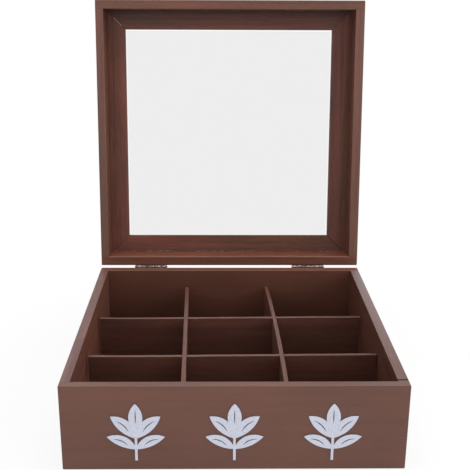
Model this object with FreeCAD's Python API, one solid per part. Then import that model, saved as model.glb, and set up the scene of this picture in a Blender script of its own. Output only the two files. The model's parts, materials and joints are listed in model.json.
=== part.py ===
import FreeCAD, Part
import math
import os

# A square wooden tea box: a base with nine compartments made by a loose grid of
# cross-halved slats, and a windowed lid on two small stop hinges. The lid stands open.
# Millimetres. The origin is the centre of the underside, X runs to the right,
# Y to the back and Z up. The lid is shaped closed and then turned to where it rests, open.

# ---- Driving dimensions --------------------------------------------------------------

BOX_WIDTH = 240.0
BOX_DEPTH = 240.0
BASE_HEIGHT = 65.0
FRONT_WALL = 6.8             # the boards were planed one by one, so they differ a little
REAR_WALL = 8.5
LEFT_WALL = 7.3
RIGHT_WALL = 7.7
LID_FRONT_WALL = 7.8
LID_REAR_WALL = 8.5
LID_LEFT_WALL = 7.0
LID_RIGHT_WALL = 8.0
SANDED_EDGE = 0.9            # rounding left by sanding the assembled box outside
INNER_RIM_EDGE = 0.25        # softened edge inside the rims and round the window
OPEN_ANGLE = 97.7            # the lid's turn from shut to where its hinges stop it
PARTING_GAP = 0.3            # paint and hinge play keep the shut lid this far off the rim

BOTTOM_THICKNESS = 3.0
BOTTOM_REBATE = 3.5          # how far the bottom panel reaches under each wall
BOTTOM_CLEARANCE = 0.3

LID_WALL_HEIGHT = 25.0
RAIL_WIDTH = 24.0
RIGHT_RAIL_WIDTH = 25.7      # the right rail was sawn a little wider than the others
RAIL_THICKNESS = 6.0
PANE_THICKNESS = 2.0
PANE_GROOVE_DEPTH = 5.0
PANE_EDGE_CLEARANCE = 0.5

SLAT_THICKNESS = 3.2
SLAT_HEIGHT = 46.5
CROSS_SLAT_CLEARANCE = 1.2   # between each slat's end and the wall it faces
LONG_SLAT_CLEARANCE = 1.85   # larger, to clear the lid's thicker front wall as well
HALVING_CLEARANCE = 0.1      # each side of a slat in the slot that takes it
INSERT_TURN = 0.95           # the loose grid has settled this far anticlockwise
RIGHT_SLAT_BOW = 1.8         # the right long slat has warped sideways

HINGE_WIDTH = 29.6
HINGE_INSET = 46.5           # from each side of the box to the middle of the nearer hinge
HINGE_LEAF_HEIGHT = 12.0
HINGE_LEAF_THICKNESS = 0.8
HINGE_AXIS_OFFSET = 1.4      # from the back of the box to the pins: the knuckles lie close,
                             # in the hollow between the rounded edges of base and lid
KNUCKLE_RADIUS = 1.5
MIDDLE_KNUCKLE_LENGTH = 14.7
KNUCKLE_END_PLAY = 0.15
HINGE_PIN_RADIUS = 0.7
HINGE_PIN_PLAY = 0.05        # radial, in the lid's knuckle
HINGE_PIN_END = 0.4          # the peened end stands this far out of the outer knuckles
STOP_WIDTH = 9.0
STOP_LENGTH = 4.5            # from the pin's axis to the tip of the stop
STOP_CLEARANCE = 0.02
LEAF_NOTCH_CLEARANCE = 0.3

SCREW_SPACING = 20.0
SCREW_SHANK_RADIUS = 0.9
SCREW_HEAD_RADIUS = 1.7
SCREW_LENGTH = 6.0
SCREW_SLOT_WIDTH = 0.5
SCREW_SLOT_DEPTH = 0.4

BRAD_RADIUS = 0.6
BRAD_HEAD_RADIUS = 0.95
BRAD_HEAD_THICKNESS = 0.5
BRAD_SET = 1.0               # driven below the face and filled over
CORNER_BRAD_LENGTH = 18.0
BOTTOM_BRAD_LENGTH = 12.0
RAIL_BRAD_LENGTH = 14.0
BASE_BRADS_PER_CORNER = 3
LID_BRADS_PER_CORNER = 2
BRADS_PER_SIDE = 3
BOTTOM_BRAD_SET = 0.5

ORNAMENT_THICKNESS = 0.8
ORNAMENT_HEIGHT = 44.0
ORNAMENT_WIDTH = 40.0
ORNAMENT_INSET = 52.0        # from each side of the box to the middle of the nearer ornament
ORNAMENT_MIDDLE_Z = 30.0
ORNAMENT_STEM_WIDTH = 1.8
ORNAMENT_STEM_TOP = 0.1      # how far up the stem runs, as a share of the sprig's half height
ORNAMENT_VEIN_WIDTH = 0.7
ORNAMENT_VEIN_START = 0.28   # where each vein starts and ends, as shares of its leaf's length
ORNAMENT_VEIN_END = 0.80

# Each leaf of a sprig: its base and its tip, as shares of the sprig's half width and half
# height from its middle, and the bulge of its left and right sides, as shares of the half width.
SPRIG_LEAVES = [
    ((0.0, 0.02), (0.0, 1.0), 0.24, 0.24),
    ((0.0, -0.22), (-0.86, 0.56), 0.16, 0.30),
    ((0.0, -0.22), (0.86, 0.56), 0.30, 0.16),
    ((0.0, -0.60), (-1.0, -0.16), 0.12, 0.28),
    ((0.0, -0.60), (1.0, -0.16), 0.28, 0.12),
]

# ---- Sizes that follow from them -----------------------------------------------------

HALF_WIDTH = BOX_WIDTH / 2
HALF_DEPTH = BOX_DEPTH / 2
FLOOR_Z = BOTTOM_THICKNESS
LID_BOTTOM_Z = BASE_HEIGHT + PARTING_GAP
RAIL_BOTTOM_Z = LID_BOTTOM_Z + LID_WALL_HEIGHT
LID_TOP_Z = RAIL_BOTTOM_Z + RAIL_THICKNESS
BASE_INSIDE = (LEFT_WALL - HALF_WIDTH, FRONT_WALL - HALF_DEPTH,  # low x and y, high x and y
               HALF_WIDTH - RIGHT_WALL, HALF_DEPTH - REAR_WALL)
LID_INSIDE = (LID_LEFT_WALL - HALF_WIDTH, LID_FRONT_WALL - HALF_DEPTH,
              HALF_WIDTH - LID_RIGHT_WALL, HALF_DEPTH - LID_REAR_WALL)
WINDOW = (RAIL_WIDTH - HALF_WIDTH, RAIL_WIDTH - HALF_DEPTH,
          HALF_WIDTH - RIGHT_RAIL_WIDTH, HALF_DEPTH - RAIL_WIDTH)
PANE_Z = RAIL_BOTTOM_Z + (RAIL_THICKNESS - PANE_THICKNESS) / 2
AXIS_Y = HALF_DEPTH + HINGE_AXIS_OFFSET
AXIS_Z = BASE_HEIGHT + PARTING_GAP / 2
GRID_X = (BASE_INSIDE[0] + BASE_INSIDE[2]) / 2                   # the grid's middle
GRID_Y = (BASE_INSIDE[1] + BASE_INSIDE[3]) / 2
CROSS_SLAT_LENGTH = BASE_INSIDE[2] - BASE_INSIDE[0] - 2 * CROSS_SLAT_CLEARANCE
LONG_SLAT_LENGTH = BASE_INSIDE[3] - BASE_INSIDE[1] - 2 * LONG_SLAT_CLEARANCE
LONG_SLAT_X = (CROSS_SLAT_LENGTH + SLAT_THICKNESS) / 6           # from the grid's middle, to
CROSS_SLAT_Y = (LONG_SLAT_LENGTH + SLAT_THICKNESS) / 6           # make compartments of one size
OVERCUT = 1.0                # how far a cutting tool runs past the face it opens
TOLERANCE = 1e-6             # within this, two positions are the same


def vec(x, y, z):
    return FreeCAD.Vector(x, y, z)


X_AXIS = vec(1, 0, 0)
Y_AXIS = vec(0, 1, 0)
Z_AXIS = vec(0, 0, 1)


def block(low, high):
    """A box between two opposite corners."""
    return Part.makeBox(high[0] - low[0], high[1] - low[1], high[2] - low[2], vec(*low))


def centred_block(half_x, half_y, low_z, high_z):
    return block((-half_x, -half_y, low_z), (half_x, half_y, high_z))


def rectangle_block(rectangle, margin, low_z, high_z):
    """A rectangle, grown by a margin on all four sides, raised between two heights."""
    low_x, low_y, high_x, high_y = rectangle
    return block((low_x - margin, low_y - margin, low_z), (high_x + margin, high_y + margin, high_z))


def fuse_all(shapes):
    joined = shapes[0].multiFuse(shapes[1:]) if len(shapes) > 1 else shapes[0]
    return joined.removeSplitter()


def opened(shape):
    """Turn a piece of the shut lid back to where the open lid rests."""
    turned = shape.copy()
    turned.rotate(vec(0, AXIS_Y, AXIS_Z), X_AXIS, -OPEN_ANGLE)
    return turned


def save(name, shape):
    """Write one named piece, or one group of equal loose solids."""
    whole = shape if shape.ShapeType == "Solid" else Part.makeCompound(shape.Solids)
    if whole.ShapeType == "Compound" and len(whole.Solids) == 1:
        whole = whole.Solids[0]
    assert whole.isValid(), name
    whole.exportStep("parts/" + name + ".step")
    print(f"{name:28s} solids {len(whole.Solids):2d}  volume {whole.Volume:10.1f}")


# ---- Shells that are cut up into boards ----------------------------------------------


def horizontal_edges(shape, level, rectangle):
    """The edges at one height that lie on the outline of a rectangle."""
    low_x, low_y, high_x, high_y = rectangle
    found = []
    for edge in shape.Edges:
        box = edge.BoundBox
        at_level = abs(box.ZMin - level) < TOLERANCE and abs(box.ZMax - level) < TOLERANCE
        off_x = min(abs(box.Center.x - low_x), abs(box.Center.x - high_x)) + box.XLength
        off_y = min(abs(box.Center.y - low_y), abs(box.Center.y - high_y)) + box.YLength
        if at_level and min(off_x, off_y) < TOLERANCE:
            found.append(edge)
    return found


def sanded_shell(low_z, high_z):
    """The outer block of the base or the lid, with every outside edge rounded."""
    outer = centred_block(HALF_WIDTH, HALF_DEPTH, low_z, high_z)
    return outer.makeFillet(SANDED_EDGE, outer.Edges)


def base_shell():
    shell = sanded_shell(0, BASE_HEIGHT)
    shell = shell.cut(rectangle_block(BASE_INSIDE, 0, -OVERCUT, BASE_HEIGHT + OVERCUT))
    rim = horizontal_edges(shell, BASE_HEIGHT, BASE_INSIDE)
    return shell.makeFillet(INNER_RIM_EDGE, rim)


def lid_shell():
    shell = sanded_shell(LID_BOTTOM_Z, LID_TOP_Z)
    cavity = rectangle_block(LID_INSIDE, 0, LID_BOTTOM_Z - OVERCUT, RAIL_BOTTOM_Z)
    shell = shell.cut(cavity).cut(rectangle_block(WINDOW, 0, LID_BOTTOM_Z, LID_TOP_Z + OVERCUT))
    soft = horizontal_edges(shell, LID_BOTTOM_Z, LID_INSIDE)
    soft += horizontal_edges(shell, RAIL_BOTTOM_Z, WINDOW)
    soft += horizontal_edges(shell, LID_TOP_Z, WINDOW)
    return shell.makeFillet(INNER_RIM_EDGE, soft)


def wall_regions(inside, low_z, high_z):
    """Where each of four butt-jointed walls lies: front and rear run the full width."""
    far_x, far_y = HALF_WIDTH + OVERCUT, HALF_DEPTH + OVERCUT
    low_x, low_y, high_x, high_y = inside
    return {
        "front": block((-far_x, -far_y, low_z), (far_x, low_y, high_z)),
        "rear": block((-far_x, high_y, low_z), (far_x, far_y, high_z)),
        "left": block((-far_x, low_y, low_z), (low_x, high_y, high_z)),
        "right": block((high_x, low_y, low_z), (far_x, high_y, high_z)),
    }


def prism(points, low_z, high_z):
    """A flat polygon, given as (x, y) points, raised between two heights."""
    corners = [vec(x, y, low_z) for x, y in points]
    face = Part.Face(Part.makePolygon(corners + [corners[0]]))
    return face.extrude(vec(0, 0, high_z - low_z))


def rail_regions():
    """Where each rail of the window frame lies. Every mitre is sawn at 45 degrees from the
    window's corner, so beside the wide rail it comes out a little short of the box's corner."""
    low_x, low_y, high_x, high_y = WINDOW
    far = RIGHT_RAIL_WIDTH + OVERCUT
    inner = [(low_x, low_y), (high_x, low_y), (high_x, high_y), (low_x, high_y)]
    outer = [(low_x - far, low_y - far), (high_x + far, low_y - far),
             (high_x + far, high_y + far), (low_x - far, high_y + far)]
    regions = {}
    for index, side in enumerate(("front", "right", "rear", "left")):
        following = (index + 1) % 4
        outline = [outer[index], outer[following], inner[following], inner[index]]
        regions[side] = prism(outline, RAIL_BOTTOM_Z, LID_TOP_Z)
    return regions


# ---- Fasteners -----------------------------------------------------------------------


def placed(shape, position, direction):
    """Stand a piece that was made along +Z at a place, along a direction."""
    turn = FreeCAD.Rotation(Z_AXIS, direction)
    result = shape.copy()
    result.Placement = FreeCAD.Placement(position, turn)
    return result


def brad(position, direction, length):
    """A small headed nail that starts at position and runs along direction."""
    shank = Part.makeCylinder(BRAD_RADIUS, length)
    head = Part.makeCylinder(BRAD_HEAD_RADIUS, BRAD_HEAD_THICKNESS)
    return placed(fuse_all([shank, head]), position, direction)


def corner_brads(count, low_z, high_z):
    """Nails through the front and rear walls into the ends of the side walls."""
    made = []
    step = (high_z - low_z) / count
    for side_x in (-1, 1):
        for side_y in (-1, 1):
            for index in range(count):
                place = vec(side_x * (HALF_WIDTH - LID_LEFT_WALL / 2), side_y * (HALF_DEPTH - BRAD_SET),
                            low_z + step * (index + 0.5))
                made.append(brad(place, vec(0, -side_y, 0), CORNER_BRAD_LENGTH))
    return made


def side_positions(rectangle):
    """Equally spaced places along the four sides of a rectangle."""
    low_x, low_y, high_x, high_y = rectangle
    places = []
    for index in range(BRADS_PER_SIDE):
        share = (index + 1) / (BRADS_PER_SIDE + 1)
        x = low_x + share * (high_x - low_x)
        y = low_y + share * (high_y - low_y)
        places += [(x, low_y), (x, high_y), (low_x, y), (high_x, y)]
    return places


def bottom_brads():
    low_x, low_y, high_x, high_y = BASE_INSIDE
    reach = BOTTOM_REBATE / 2
    ledge = (low_x - reach, low_y - reach, high_x + reach, high_y + reach)
    return [brad(vec(x, y, BOTTOM_BRAD_SET), Z_AXIS, BOTTOM_BRAD_LENGTH)
            for x, y in side_positions(ledge)]


def rail_brads():
    half_x = HALF_WIDTH - LID_LEFT_WALL / 2
    half_y = HALF_DEPTH - LID_LEFT_WALL / 2
    return [brad(vec(x, y, LID_TOP_Z - BRAD_SET), -Z_AXIS, RAIL_BRAD_LENGTH)
            for x, y in side_positions((-half_x, -half_y, half_x, half_y))]


def cut_all(shape, tools):
    near = [tool for tool in tools if tool.BoundBox.intersect(shape.BoundBox)]
    return shape.cut(near) if near else shape


# ---- Base ----------------------------------------------------------------------------


def base_boards(holes):
    """Four walls and the bottom panel, which sits in a rebate under the walls."""
    rebate = rectangle_block(BASE_INSIDE, BOTTOM_REBATE, -OVERCUT, BOTTOM_THICKNESS)
    shell = base_shell().cut(rebate)
    boards = {}
    names = {"front": "front_panel", "rear": "rear_panel",
             "left": "left_side_panel", "right": "right_side_panel"}
    for side, region in wall_regions(BASE_INSIDE, -OVERCUT, BASE_HEIGHT + OVERCUT).items():
        boards[names[side]] = cut_all(shell.common(region), holes)
    panel = rectangle_block(BASE_INSIDE, BOTTOM_REBATE - BOTTOM_CLEARANCE, 0, BOTTOM_THICKNESS)
    boards["bottom_panel"] = cut_all(panel, holes)
    return boards


# ---- Divider grid --------------------------------------------------------------------


def cross_slat(y):
    slat = centred_block(CROSS_SLAT_LENGTH / 2, SLAT_THICKNESS / 2, FLOOR_Z, FLOOR_Z + SLAT_HEIGHT)
    return slat.translated(vec(0, y, 0))


def long_slat(x):
    slat = centred_block(SLAT_THICKNESS / 2, LONG_SLAT_LENGTH / 2, FLOOR_Z, FLOOR_Z + SLAT_HEIGHT)
    return slat.translated(vec(x, 0, 0))


def bowed_slat(x, bow):
    """A long slat that bulges sideways but still crosses the others at x."""
    half_length = LONG_SLAT_LENGTH / 2
    half = SLAT_THICKNESS / 2
    end_x = x - bow * (1 - (CROSS_SLAT_Y / half_length) ** 2)

    def side(shift):
        return [vec(end_x + shift, -half_length, FLOOR_Z), vec(end_x + bow + shift, 0, FLOOR_Z),
                vec(end_x + shift, half_length, FLOOR_Z)]

    inner, outer = side(-half), side(half)
    wire = Part.Wire([Part.Arc(*inner).toShape(), Part.LineSegment(inner[2], outer[2]).toShape(),
                      Part.Arc(*reversed(outer)).toShape(),
                      Part.LineSegment(outer[0], inner[0]).toShape()])
    return Part.Face(wire).extrude(vec(0, 0, SLAT_HEIGHT))


def halving_slot(x, y, low_z, high_z, across_x):
    """The slot that lets one slat pass another at a crossing."""
    half = SLAT_THICKNESS / 2 + HALVING_CLEARANCE
    long_half = SLAT_THICKNESS / 2 + OVERCUT + abs(RIGHT_SLAT_BOW)
    half_x, half_y = (half, long_half) if across_x else (long_half, half)
    return block((x - half_x, y - half_y, low_z), (x + half_x, y + half_y, high_z))


def divider_grid():
    """Two long slats, slotted from below, over two cross slats, slotted from above. They are
    shaped about the origin, and the grid is then turned and moved to where it lies."""
    middle_z = FLOOR_Z + SLAT_HEIGHT / 2
    top_z = FLOOR_Z + SLAT_HEIGHT + OVERCUT
    long_slats = {
        "long_divider_left": long_slat(-LONG_SLAT_X),
        "long_divider_right": bowed_slat(LONG_SLAT_X, RIGHT_SLAT_BOW),
    }
    cross_slats = {
        "cross_divider_front": cross_slat(-CROSS_SLAT_Y),
        "cross_divider_rear": cross_slat(CROSS_SLAT_Y),
    }
    crossings = [(x, y) for x in (-LONG_SLAT_X, LONG_SLAT_X) for y in (-CROSS_SLAT_Y, CROSS_SLAT_Y)]
    from_below = [halving_slot(x, y, FLOOR_Z - OVERCUT, middle_z, False) for x, y in crossings]
    from_above = [halving_slot(x, y, middle_z, top_z, True) for x, y in crossings]
    slats = {name: cut_all(slat, from_below) for name, slat in long_slats.items()}
    slats.update({name: cut_all(slat, from_above) for name, slat in cross_slats.items()})
    for slat in slats.values():
        slat.rotate(vec(0, 0, 0), Z_AXIS, INSERT_TURN)
        slat.translate(vec(GRID_X, GRID_Y, 0))
    return slats


# ---- Lid -----------------------------------------------------------------------------


def lid_boards(holes):
    """Four walls, four mitred rails grooved for the pane, and the pane, all shut."""
    shell = lid_shell()
    groove = rectangle_block(WINDOW, PANE_GROOVE_DEPTH, PANE_Z, PANE_Z + PANE_THICKNESS)
    boards = {}
    for side, region in wall_regions(LID_INSIDE, LID_BOTTOM_Z - OVERCUT, RAIL_BOTTOM_Z).items():
        boards["lid_" + side + "_wall"] = cut_all(shell.common(region), holes)
    for side, region in rail_regions().items():
        boards["lid_" + side + "_rail"] = cut_all(shell.common(region).cut(groove), holes)
    reach = PANE_GROOVE_DEPTH - PANE_EDGE_CLEARANCE
    boards["window_pane"] = rectangle_block(WINDOW, reach, PANE_Z, PANE_Z + PANE_THICKNESS)
    return boards


# ---- Hinges --------------------------------------------------------------------------


def barrel(centre_x, length, radius):
    start = vec(centre_x - length / 2, AXIS_Y, AXIS_Z)
    return Part.makeCylinder(radius, length, start, X_AXIS)


def leaf_screws(centre_x, height):
    """Two countersunk screws, their heads flush with the outside of a leaf."""
    face_y = HALF_DEPTH + HINGE_LEAF_THICKNESS
    sink = SCREW_HEAD_RADIUS - SCREW_SHANK_RADIUS
    screws = []
    for side in (-1, 1):
        place = vec(centre_x + side * SCREW_SPACING / 2, face_y, height)
        head = Part.makeCone(SCREW_HEAD_RADIUS, SCREW_SHANK_RADIUS, sink)
        shank = Part.makeCylinder(SCREW_SHANK_RADIUS, SCREW_LENGTH)
        screws.append(placed(fuse_all([head, shank]), place, -Y_AXIS))
    return screws


def slotted(screw):
    """Cut the driver slot across a screw's head."""
    box = screw.BoundBox
    half = SCREW_SLOT_WIDTH / 2
    low = (box.Center.x - SCREW_HEAD_RADIUS, box.YMax - SCREW_SLOT_DEPTH, box.Center.z - half)
    high = (box.Center.x + SCREW_HEAD_RADIUS, box.YMax + OVERCUT, box.Center.z + half)
    return screw.cut(block(low, high))


def leaf_plate(centre_x, low_z, high_z):
    half = HINGE_WIDTH / 2
    return block((centre_x - half, HALF_DEPTH, low_z),
                 (centre_x + half, HALF_DEPTH + HINGE_LEAF_THICKNESS, high_z))


def hinge(centre_x):
    """One stop hinge with the lid shut: the base leaf has the two outer knuckles."""
    clear_radius = KNUCKLE_RADIUS + LEAF_NOTCH_CLEARANCE
    outer_length = (HINGE_WIDTH - MIDDLE_KNUCKLE_LENGTH) / 2 - KNUCKLE_END_PLAY
    outer_shift = (HINGE_WIDTH - outer_length) / 2
    middle_gap = MIDDLE_KNUCKLE_LENGTH + 2 * KNUCKLE_END_PLAY
    base_screws = leaf_screws(centre_x, AXIS_Z - HINGE_LEAF_HEIGHT / 2 - KNUCKLE_RADIUS / 2)
    lid_screws = leaf_screws(centre_x, AXIS_Z + HINGE_LEAF_HEIGHT / 2 + KNUCKLE_RADIUS / 2)

    base_leaf = fuse_all([leaf_plate(centre_x, AXIS_Z - HINGE_LEAF_HEIGHT, AXIS_Z)]
                         + [barrel(centre_x + side * outer_shift, outer_length, KNUCKLE_RADIUS)
                            for side in (-1, 1)])
    base_leaf = base_leaf.cut([barrel(centre_x, middle_gap, clear_radius),
                               barrel(centre_x, HINGE_WIDTH, HINGE_PIN_RADIUS)] + base_screws)

    lid_leaf = fuse_all([leaf_plate(centre_x, AXIS_Z, AXIS_Z + HINGE_LEAF_HEIGHT),
                         barrel(centre_x, MIDDLE_KNUCKLE_LENGTH, KNUCKLE_RADIUS)])
    outer_notches = [barrel(centre_x + side * outer_shift, outer_length + 2 * KNUCKLE_END_PLAY,
                            clear_radius) for side in (-1, 1)]
    bore = barrel(centre_x, HINGE_WIDTH, HINGE_PIN_RADIUS + HINGE_PIN_PLAY)
    lid_leaf = opened(lid_leaf.cut(outer_notches + lid_screws))
    lid_leaf = fuse_all([lid_leaf, hinge_stop(centre_x)]).cut(bore)

    pin = barrel(centre_x, HINGE_WIDTH + 2 * HINGE_PIN_END, HINGE_PIN_RADIUS)
    return {"base_leaf": base_leaf, "lid_leaf": lid_leaf, "pin": pin,
            "base_screws": base_screws, "lid_screws": lid_screws}


def hinge_stop(centre_x):
    """The tail of the lid's knuckle, which bears on the base leaf when the lid is open."""
    face_y = HALF_DEPTH + HINGE_LEAF_THICKNESS + STOP_CLEARANCE
    half = STOP_WIDTH / 2
    return block((centre_x - half, face_y, AXIS_Z - STOP_LENGTH),
                 (centre_x + half, face_y + HINGE_LEAF_THICKNESS, AXIS_Z - KNUCKLE_RADIUS / 2))


# ---- Front ornaments -----------------------------------------------------------------


def leaf_face(base, tip, bulge_left, bulge_right):
    """A pointed leaf on the front plane, each side an arc from its base to its tip."""
    along = tip - base
    side = vec(-along.z, 0, along.x).normalize()
    middle = (base + tip) * 0.5
    left = Part.Arc(base, middle + side * bulge_left, tip).toShape()
    right = Part.Arc(tip, middle - side * bulge_right, base).toShape()
    return Part.Face(Part.Wire([left, right]))


def sprig(centre_x):
    """An upright leafy sprig of thin metal foil on the front panel."""
    face_y = -HALF_DEPTH
    half_height = ORNAMENT_HEIGHT / 2
    half_width = ORNAMENT_WIDTH / 2

    def at(share_x, share_z):
        return vec(centre_x + share_x * half_width, face_y, ORNAMENT_MIDDLE_Z + share_z * half_height)

    half_stem = ORNAMENT_STEM_WIDTH / 2
    stem_top = at(0, ORNAMENT_STEM_TOP)
    stem_foot = at(0, -1.0)
    depth = vec(0, -ORNAMENT_THICKNESS, 0)
    pieces = [block((centre_x - half_stem, face_y - ORNAMENT_THICKNESS, stem_foot.z),
                    (centre_x + half_stem, face_y, stem_top.z))]
    veins = []
    for base_share, tip_share, left, right in SPRIG_LEAVES:
        base = at(*base_share)
        tip = at(*tip_share)
        outline = leaf_face(base, tip, left * half_width, right * half_width)
        pieces.append(outline.extrude(depth))
        vein_base = base + (tip - base) * ORNAMENT_VEIN_START
        vein_tip = base + (tip - base) * ORNAMENT_VEIN_END
        vein_bend = (left - right) / 2 * half_width
        vein = leaf_face(vein_base, vein_tip, ORNAMENT_VEIN_WIDTH / 2 + vein_bend,
                         ORNAMENT_VEIN_WIDTH / 2 - vein_bend)
        veins.append(vein.extrude(depth * 3).translated(-depth))
    return fuse_all(pieces).cut(veins)


# ---- Build ---------------------------------------------------------------------------


def main():
    base_nails = corner_brads(BASE_BRADS_PER_CORNER, BOTTOM_THICKNESS, BASE_HEIGHT)
    floor_nails = bottom_brads()
    lid_nails = corner_brads(LID_BRADS_PER_CORNER, LID_BOTTOM_Z, RAIL_BOTTOM_Z)
    frame_nails = rail_brads()
    hinges = {"left": hinge(HINGE_INSET - HALF_WIDTH), "right": hinge(HALF_WIDTH - HINGE_INSET)}
    base_screws = [screw for parts in hinges.values() for screw in parts["base_screws"]]
    lid_screws = [screw for parts in hinges.values() for screw in parts["lid_screws"]]

    for name, shape in base_boards(base_nails + floor_nails + base_screws).items():
        save(name, shape)
    save("base_corner_brads", Part.makeCompound(base_nails))
    save("bottom_brads", Part.makeCompound(floor_nails))
    for name, shape in divider_grid().items():
        save(name, shape)
    for name, shape in lid_boards(lid_nails + frame_nails + lid_screws).items():
        save(name, opened(shape))
    save("lid_corner_brads", opened(Part.makeCompound(lid_nails)))
    save("lid_rail_brads", opened(Part.makeCompound(frame_nails)))
    for side, parts in hinges.items():
        save("hinge_" + side + "_base_leaf", parts["base_leaf"])
        save("hinge_" + side + "_lid_leaf", parts["lid_leaf"])
        save("hinge_" + side + "_pin", parts["pin"])
        save("hinge_" + side + "_base_screws",
             Part.makeCompound([slotted(screw) for screw in parts["base_screws"]]))
        save("hinge_" + side + "_lid_screws",
             opened(Part.makeCompound([slotted(screw) for screw in parts["lid_screws"]])))
    save("ornament_left", sprig(ORNAMENT_INSET - HALF_WIDTH))
    save("ornament_centre", sprig(0))
    save("ornament_right", sprig(HALF_WIDTH - ORNAMENT_INSET))


main()
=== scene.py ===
# %% Load the frame
import json
import math

import bmesh
import bpy
from mathutils import Euler, Matrix, Vector, noise


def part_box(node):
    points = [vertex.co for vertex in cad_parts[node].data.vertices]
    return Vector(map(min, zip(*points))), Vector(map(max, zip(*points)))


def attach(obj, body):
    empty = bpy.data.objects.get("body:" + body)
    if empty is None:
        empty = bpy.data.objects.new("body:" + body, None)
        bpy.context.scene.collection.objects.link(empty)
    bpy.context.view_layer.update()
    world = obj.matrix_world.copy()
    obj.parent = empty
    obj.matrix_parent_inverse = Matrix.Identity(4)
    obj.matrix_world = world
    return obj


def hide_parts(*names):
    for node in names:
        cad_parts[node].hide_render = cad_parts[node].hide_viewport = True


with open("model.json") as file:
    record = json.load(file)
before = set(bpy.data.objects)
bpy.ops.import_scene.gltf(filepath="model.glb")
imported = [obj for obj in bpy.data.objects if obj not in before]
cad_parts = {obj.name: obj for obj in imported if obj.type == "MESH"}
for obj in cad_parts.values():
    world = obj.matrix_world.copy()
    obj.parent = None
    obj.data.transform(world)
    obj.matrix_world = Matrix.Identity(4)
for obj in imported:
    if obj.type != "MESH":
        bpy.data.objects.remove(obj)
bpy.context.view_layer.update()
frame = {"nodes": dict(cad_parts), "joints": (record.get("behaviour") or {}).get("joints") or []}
bpy.ops.object.select_all(action="DESELECT")

# %% [markdown]
# # A painted tea box with a window in its lid
#
# The real box is a low square tray of boards seven or eight millimetres thick, butted, glued and
# nailed, with a loose grid of thin slats inside. A shallow lid, framed in mitred rails round a
# pane, stands open on two small hinges. All the wood is sprayed with one satin brown paint.
#
# The frame that was just loaded already has every part at its true size and place. Here the wooden
# parts are modelled again, with the joints, soft edges and grain that a maker would look for, and
# the metal and glass parts are given finishes.

# %% Millimetres, and the lid's own position
MM = 0.001
lid_joint = next(joint for joint in frame["joints"] if joint["name"] == "lid_hinge")
HINGE_AXIS = Vector(lid_joint["pos_m"])
OPEN_ANGLE = math.radians(lid_joint["range_deg"][1])


def corners(points):
    """The lowest and the highest corner of the box round some points."""
    return [Vector(end(point[axis] for point in points) for axis in range(3)) for end in (min, max)]


def shut_box(node):
    """The lowest and highest corners of a lid part, were the lid shut."""
    turn = Matrix.Rotation(OPEN_ANGLE, 3, "X")
    return corners([turn @ (vertex.co - HINGE_AXIS) + HINGE_AXIS
                    for vertex in frame["nodes"][node].data.vertices])


print("the shut lid's rear rail spans",
      [[round(value / MM, 2) for value in corner] for corner in shut_box("lid_rear_rail")])

# %% [markdown]
# ## The camera
#
# The box is seen from the front and a little above, by a long lens, so that its rims run back with
# little convergence. The camera goes in first, because each piece is judged through it. Its angles
# are given as a tilt from straight down, a turn and a small roll. A lens shift keeps the
# picture's frame where it is without tilting the camera further.

# %% Camera
CAMERA_PLACE = Vector((-13.01, -646.43, 337.09)) * MM
TILT, TURN, ROLL = 71.026, -0.791, 0.264

camera_data = bpy.data.cameras.new("camera")
camera_data.sensor_width = 36
camera_data.lens = 66.40
camera_data.shift_x = 0.0170
camera_data.shift_y = 0.0507
camera_data.clip_start = 0.01
camera = bpy.data.objects.new("camera", camera_data)
bpy.context.scene.collection.objects.link(camera)
facing = Euler((math.radians(TILT), 0, math.radians(TURN))).to_matrix()
facing = facing @ Matrix.Rotation(math.radians(ROLL), 3, "Z")
camera.matrix_world = Matrix.Translation(CAMERA_PLACE) @ facing.to_4x4()
bpy.context.scene.camera = camera
print("the camera stands", round(-CAMERA_PLACE.y, 3), "m in front of the box's middle")

# %% [markdown]
# ## Working in edit mode
#
# Every board starts as a cube that is added at its own size and place, and is then cut and shaped
# in edit mode. An operator acts on what is selected, so a few small helpers pick faces and edges by
# where they lie, as one would with the mouse. Picking by place keeps working when a size changes.
# A face counts as level where its normal's height, from -1 to 1, is past LEVEL.
#
# A place is written as at(y=0.1, z=0.2), the line where those two planes meet. Adding x_above or
# x_below keeps only a part of that line.

# %% Starting a block, and picking parts of it
SAME_PLACE = 1e-5
CREASE = math.radians(30)
LEVEL = 0.9


def start_block(name, low, high):
    """Add a cube between two corners and open it for editing with nothing selected."""
    bpy.ops.object.select_all(action="DESELECT")
    low, high = Vector(low), Vector(high)
    bpy.ops.mesh.primitive_cube_add(size=1, location=(low + high) / 2, scale=high - low)
    piece = bpy.context.object
    piece.name = piece.data.name = name
    bpy.ops.object.transform_apply(location=True, rotation=True, scale=True)
    bpy.ops.object.mode_set(mode="EDIT")
    bpy.ops.mesh.select_all(action="DESELECT")
    return piece


def at(**places):
    """A test of whether a point lies where all the named places say."""
    def test(point):
        for key, value in places.items():
            position = getattr(point, key[0])
            if key.endswith("above"):
                passed = position > value - SAME_PLACE
            elif key.endswith("below"):
                passed = position < value + SAME_PLACE
            else:
                passed = abs(position - value) < SAME_PLACE
            if not passed:
                return False
        return True
    return test


def pick(piece, kind, test):
    """Select the faces, edges or points that pass a test, and no others."""
    bpy.ops.mesh.select_mode(type=kind)
    bpy.ops.mesh.select_all(action="DESELECT")
    mesh = bmesh.from_edit_mesh(piece.data)
    for part in {"FACE": mesh.faces, "EDGE": mesh.edges, "VERT": mesh.verts}[kind]:
        part.select_set(bool(test(part)))
    bmesh.update_edit_mesh(piece.data)


def pick_faces(piece, test):
    """Select the faces whose middle and normal pass the test."""
    pick(piece, "FACE", lambda face: test(face.calc_center_median(), face.normal))


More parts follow.
